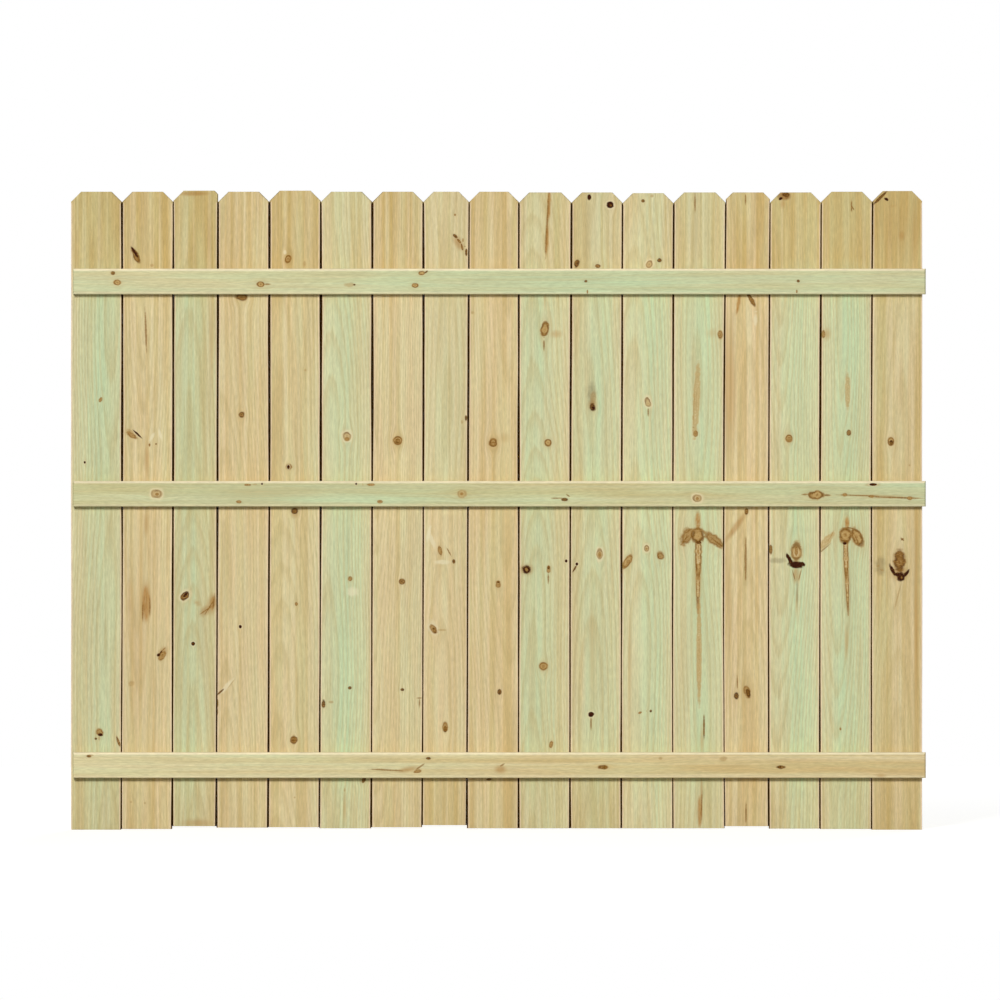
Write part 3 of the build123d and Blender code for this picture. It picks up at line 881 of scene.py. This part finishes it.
        (824, 549, 4, 46, CRACK, -50), (831, 536, 3, 34, CRACK, -28), (840.4, 729, 6, 9, TAN),
    ),
    17: (
        (880, 198, 8, 52, DARK, -46), (886.5, 199.2, 12, 9, CHAR, -30), (901.7, 235.5, 24, 36, STAIN),
        (893, 206, 30, 14, WARM), (897, 226, 180, 200, TINGE), (890.9, 441.6, 19, 26, RIMMED),
        (891.2, 442.4, 10, 13, DARK), (909.5, 465.3, 6, 6, FAINT), (899.2, 561, 44, 76, SMEAR),
        (899.4, 561, 33, 66, DEEP), (892.4, 570, 10, 36, CHAR, 27), (900.8, 576.6, 22, 26, CHAR),
        (906.2, 573.7, 9, 27, CHAR, -36), (897.6, 574.3, 15, 12, CHAR), (901.6, 577.4, 5, 8, DEEP),
        (899.5, 573, 58, 50, SMEAR), (902.3, 539.3, 12, 5, CRACK, -40), (902.3, 539.3, 9, 4, CRACK, 35),
        (880.5, 566, 30, 50, SOOT), (878, 566, 10, 5, FAINT, 20), (882, 570, 12, 6, FAINT, -20),
        (897.6, 597, 4, 70, FAINT, -14), (914.5, 230, 14, 220, WARM), (916, 600, 12, 700, STAIN),
    ),
}

PICKET_RINGS_MM = 6.5
PICKET_EDGE_PALE = (0.9, 0.9)
# Sawn, the pickets show a strong figure, strong streaks and pale rosy edges.
picket_pine = treated_pine(
    "sawn_treated_pine", figure=0.31, streaks=0.06, edge_colour="#F0D8BA", saw_mark_mm=6.0)
boxes = [[np.array(corner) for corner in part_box(name)] for name in PICKETS]


def joint_line(index):
    """Foot and head of the joint after a picket, its bow, its gapes, and whether a neighbour is there."""
    if index < 0 or index == len(boxes) - 1:
        edge = boxes[0][0][0] + JOINT_WANDER if index < 0 else boxes[-1][1][0] - JOINT_WANDER
        return edge, edge, 0.0, 0.0, 0.0, False
    middle = (boxes[index][1][0] + boxes[index + 1][0][0]) / 2
    foot, head, bow, foot_gape, head_gape = (length * MM for length in JOINTS[index])
    return middle + foot, middle + head, bow, foot_gape, head_gape, True


layout = np.random.default_rng(LAYOUT_SEED)
for index, name in enumerate(PICKETS):
    low, high = boxes[index]
    left, right = joint_line(index - 1), joint_line(index)
    ears = RIPPED_EARS.get(index + 1, (DOG_EAR, DOG_EAR))
    thickness = high[1] - low[1] - STAPLE_ROOM
    sizes = {
        "Length": high[2] - low[2], "Thickness": thickness, "Arris": PICKET_ARRIS, "Wander": JOINT_WANDER,
        "Columns": PICKET_CELLS[0], "Rows": PICKET_CELLS[1],
        "Turn": (0.0, 0.0, 0.0), "Place": (0.0, low[1] + thickness / 2, low[2]), "Timber": picket_pine,
    }
    for number, (hand, line) in enumerate(zip(HANDS, (left, right))):
        lengths = (*line[:5], ears[number], JOINT_SEED_STEP * (index + number))
        sizes.update({f"{hand} {size}": length for size, length in zip(SIDE_SIZES, lengths)})
    board = grown(f"{name}_pine", board_tree, sizes)
    marks = [photo_mark(*mark) for mark in PICKET_MARKS[index + 1]]
    upper, lower, head, body, foot, green_at = BOARD_STAINS[index]
    edge, width = low[0] / MM, (high[0] - low[0]) / MM

    def picket_stains(across, along):
        """Green in the sapwood band of the board, honey at its head and foot."""
        share = (across - edge) / width
        sapwood = SAPWOOD_LEAST + SAPWOOD_RISE * np.exp(-(((share - green_at) / SAPWOOD_WIDTH) ** 2))
        green_head = upper * (END_GREEN - HONEYED_GREEN_LOSS * min(head, 1))
        greens = (lower * END_GREEN, lower, lower, upper, upper, green_head)
        honeys = (foot, foot * FOOT_HONEY, body, body, head * HEAD_HONEY, head)
        green = np.interp(along, GREEN_HEIGHTS, greens)
        honey = np.interp(along, HONEY_HEIGHTS, honeys)
        tone = np.interp(along, TONE_HEIGHTS, HEIGHT_TONES)
        return np.clip(green * sapwood, 0, 1), honey, tone * np.interp(share, [0, 1], BOARD_TONES[index])

    pith = (
        edge + width * layout.uniform(*PITH_ACROSS),
        layout.uniform(*PITH_DEPTH_MM),
        layout.uniform(*PITH_SLOPE),
    )
    grain_board(
        board, 2, 0, marks, pith, PICKET_RINGS_MM, picket_stains, seed=index, pale=PICKET_EDGE_PALE,
        joints=(left[5], right[5]))
    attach(board, "root")
    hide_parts(name)

# Staples: flat galvanised wire, two at each crossing, driven from the street side.
# Only their crowns show, pressed level with the face of the picket.

STEEL = "#9AA0A2"
ZINC_BLOOM = "#C3C7C6"
SPANGLE_MM = 1.2
ZINC_METALLIC = 0.9
ZINC_ROUGHNESS = (*PATTERN_SPAN, 0.38, 0.62)
# Galvanised wire: dull grey metal with a fine, cloudy bloom.
galvanised = bpy.data.materials.new("galvanised_flat_wire")
galvanised.use_nodes = True
tree = galvanised.node_tree
tree.nodes.clear()
spot = node(tree, "ShaderNodeTexCoord").outputs["Object"]
spangle = node(tree, "ShaderNodeTexNoise", {"Vector": spot, "Scale": 1 / (SPANGLE_MM * MM), "Detail": 3.0})
dull = node(tree, "ShaderNodeMapRange", enumerate((spangle.outputs[0], *ZINC_ROUGHNESS)))
tint = node(tree, "ShaderNodeMix", {
    0: spangle.outputs[0], 6: linear(STEEL), 7: linear(ZINC_BLOOM)}, data_type="RGBA").outputs[2]
wire = node(tree, "ShaderNodeBsdfPrincipled", {
    "Base Color": tint, "Metallic": ZINC_METALLIC, "Roughness": dull})
node(tree, "ShaderNodeOutputMaterial", {"Surface": wire})

STAPLE_CROWN = 12.7 * MM
STAPLE_WIRE = 1.6 * MM
STAPLE_EDGE = 26.0 * MM
STAPLE_STAGGER = 16.0 * MM
STAPLE_TIP_COVER = 10.0 * MM
CROWN_SET = 0.25 * MM
WIRE_ROUNDING = 0.2
BEND_CUTS = 3


def staple_tree():
    """A square wire bent to a crown and two legs, at every place of the mesh it is given."""
    tree = bpy.data.node_groups.new("flat_wire_staple", "GeometryNodeTree")
    tree.interface.new_socket("Staples", in_out="OUTPUT", socket_type="NodeSocketGeometry")
    tree.interface.new_socket("Places", in_out="INPUT", socket_type="NodeSocketGeometry")
    for name in ("Crown", "Wire", "Depth"):
        tree.interface.new_socket(name, in_out="INPUT", socket_type="NodeSocketFloat")
    tree.interface.new_socket("Metal", in_out="INPUT", socket_type="NodeSocketMaterial")
    size = node(tree, "NodeGroupInput").outputs
    math_node = "ShaderNodeMath"
    bends = node(tree, "GeometryNodeMeshLine", {"Count": 4})
    number = node(tree, "GeometryNodeInputIndex")
    centred = node(tree, math_node, {0: number, 1: 1.5}, operation="SUBTRACT")
    hand = node(tree, math_node, {0: centred}, operation="SIGN")
    spread = node(tree, math_node, {0: size["Crown"], 1: size["Wire"]}, operation="SUBTRACT")
    half = node(tree, math_node, {0: spread, 1: 0.5}, operation="MULTIPLY")
    across = node(tree, math_node, {0: hand, 1: half}, operation="MULTIPLY")
    apart = node(tree, math_node, {0: centred}, operation="ABSOLUTE")
    tip = node(tree, math_node, {0: apart, 1: 1.0}, operation="GREATER_THAN")
    sunk = node(tree, math_node, {0: size["Depth"], 1: size["Wire"]}, operation="SUBTRACT")
    drop = node(tree, math_node, {0: sunk, 1: tip}, operation="MULTIPLY")
    axis = node(tree, math_node, {0: size["Wire"], 1: 0.5}, operation="MULTIPLY")
    under = node(tree, math_node, {0: drop, 1: axis}, operation="ADD")
    depth = node(tree, math_node, {0: under, 1: -1.0}, operation="MULTIPLY")
    corner = node(tree, "ShaderNodeCombineXYZ", {0: across, 1: depth})
    bent = node(tree, "GeometryNodeSetPosition", {"Geometry": bends, "Position": corner})
    path = node(tree, "GeometryNodeMeshToCurve", {0: bent})
    eased = node(tree, "GeometryNodeFilletCurve", {
        "Curve": path, "Radius": axis, "Count": BEND_CUTS}, mode="POLY")
    section = node(tree, "GeometryNodeCurvePrimitiveQuadrilateral", {0: size["Wire"], 1: size["Wire"]})
    rounding = node(tree, math_node, {0: size["Wire"], 1: WIRE_ROUNDING}, operation="MULTIPLY")
    wire = node(tree, "GeometryNodeFilletCurve", {
        "Curve": section, "Radius": rounding, "Count": 1}, mode="POLY")
    staple = node(tree, "GeometryNodeCurveToMesh", {
        "Curve": eased, "Profile Curve": wire, "Fill Caps": True})
    driven = node(tree, "GeometryNodeInstanceOnPoints", {"Points": size["Places"], "Instance": staple})
    real = node(tree, "GeometryNodeRealizeInstances", {0: driven})
    dressed = node(tree, "GeometryNodeSetMaterial", {"Geometry": real, "Material": size["Metal"]})
    node(tree, "NodeGroupOutput", {0: dressed})
    return tree


wire_tree = staple_tree()
for name in RAILS:
    rail_low, rail_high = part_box(name)
    level = (rail_low[2] + rail_high[2]) / 2
    crown_face = boxes[0][1][1] - CROWN_SET
    places = [(low[0] + STAPLE_EDGE, crown_face, level + STAPLE_STAGGER / 2) for low, high in boxes]
    places += [(high[0] - STAPLE_EDGE, crown_face, level - STAPLE_STAGGER / 2) for low, high in boxes]
    staples = grown(f"{name}_staple_wire", wire_tree, {
        "Crown": STAPLE_CROWN, "Wire": STAPLE_WIRE, "Metal": galvanised,
        "Depth": crown_face - rail_low[1] - STAPLE_TIP_COVER,
    }, places)
    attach(staples, "root")
    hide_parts(f"{name}_staples")

# Studio: a plain pale floor, a large soft lamp in front, another behind, and an even pale surround.
# The floor and the surround are white to the eye and to anything that mirrors them.

FLOOR_WHITE = "#C8C8C6"
FLOOR_SIZE = 14.0
FLOOR_GLOW = 0.72


def seen_straight(tree):
    """1 where the camera, a mirror or a clear pane sees the surface, 0 where it only lights others."""
    path = node(tree, "ShaderNodeLightPath").outputs
    seen = path["Is Camera Ray"]
    for ray in ("Is Glossy Ray", "Is Transmission Ray"):
        seen = node(tree, "ShaderNodeMath", {0: seen, 1: path[ray]}, operation="MAXIMUM").outputs[0]
    return seen


bpy.ops.mesh.primitive_plane_add(size=FLOOR_SIZE, location=(0, 0, cad_box[0][2]))
floor = bpy.context.object
floor.name = "studio_floor"
# White card: it takes the panel's shadow, and glows a little so that it meets the surround unseen.
paper = bpy.data.materials.new("white_studio_floor")
paper.use_nodes = True
tree = paper.node_tree
tree.nodes.clear()
seen = node(tree, "ShaderNodeMath", {0: seen_straight(tree), 1: FLOOR_GLOW}, operation="MULTIPLY")
card = node(tree, "ShaderNodeBsdfDiffuse", {"Color": linear(FLOOR_WHITE)})
glow = node(tree, "ShaderNodeEmission", {"Color": (1, 1, 1, 1), "Strength": seen})
lit = node(tree, "ShaderNodeAddShader", {0: card, 1: glow})
node(tree, "ShaderNodeOutputMaterial", {"Surface": lit})
floor.data.materials.append(paper)

AMBIENT = 0.18
world = bpy.data.worlds.new("studio")
bpy.context.scene.world = world
world.use_nodes = True
tree = world.node_tree
tree.nodes.clear()
soft = node(tree, "ShaderNodeBackground", {"Color": (1, 1, 1, 1), "Strength": AMBIENT})
white = node(tree, "ShaderNodeBackground", {"Color": (1, 1, 1, 1), "Strength": 1.0})
both = node(tree, "ShaderNodeMixShader", {0: seen_straight(tree), 1: soft, 2: white})
node(tree, "ShaderNodeOutputWorld", {"Surface": both})

# Softboxes: place and size in metres, power in watts. They aim at the middle of the panel.
AIM_HEIGHT = 0.9
SOFTBOXES = (
    ("key_softbox", (-2.6, -15.0, 4.9), 2.3, 1935),
    ("back_softbox", (4.0, 20.0, 9.0), 8.0, 2600),
)
panel_middle = np.array([0.0, 0.0, AIM_HEIGHT])
for name, place, size, power in SOFTBOXES:
    lamp = bpy.data.lights.new(name, "AREA")
    lamp.size = size
    lamp.energy = power
    holder = bpy.data.objects.new(name, lamp)
    bpy.context.scene.collection.objects.link(holder)
    holder.location = place
    aim = panel_middle - np.array(place)
    turn = math.atan2(aim[1], aim[0]) - math.pi / 2
    tilt = math.atan2(math.hypot(aim[0], aim[1]), -aim[2])
    holder.rotation_euler = (tilt, 0.0, turn)

# Camera: square on to the panel, far away with a long lens, as flat as the photo.
# A pixel of its frame is a pixel of the photo on the pickets' front.

CAMERA_DISTANCE = 30.0
CLIP_END = 200.0
SENSOR = 36.0
FRAME_PIXELS = 1000
picket_plane = boxes[0][0][1]
lens = bpy.data.cameras.new("front")
lens.sensor_width = SENSOR
lens.lens = SENSOR * CAMERA_DISTANCE / (FRAME_PIXELS * MM_PER_PIXEL * MM)
lens.clip_end = CLIP_END
camera = bpy.data.objects.new("front", lens)
bpy.context.scene.collection.objects.link(camera)
camera.location = (
    cad_box[0][0] + (FRAME_PIXELS / 2 - PHOTO_LEFT) * MM_PER_PIXEL * MM,
    picket_plane - CAMERA_DISTANCE,
    (PHOTO_FOOT - FRAME_PIXELS / 2) * MM_PER_PIXEL * MM,
)
camera.rotation_euler = (math.pi / 2, 0.0, 0.0)
bpy.context.scene.camera = camera
bpy.context.scene.view_settings.view_transform = "Standard"
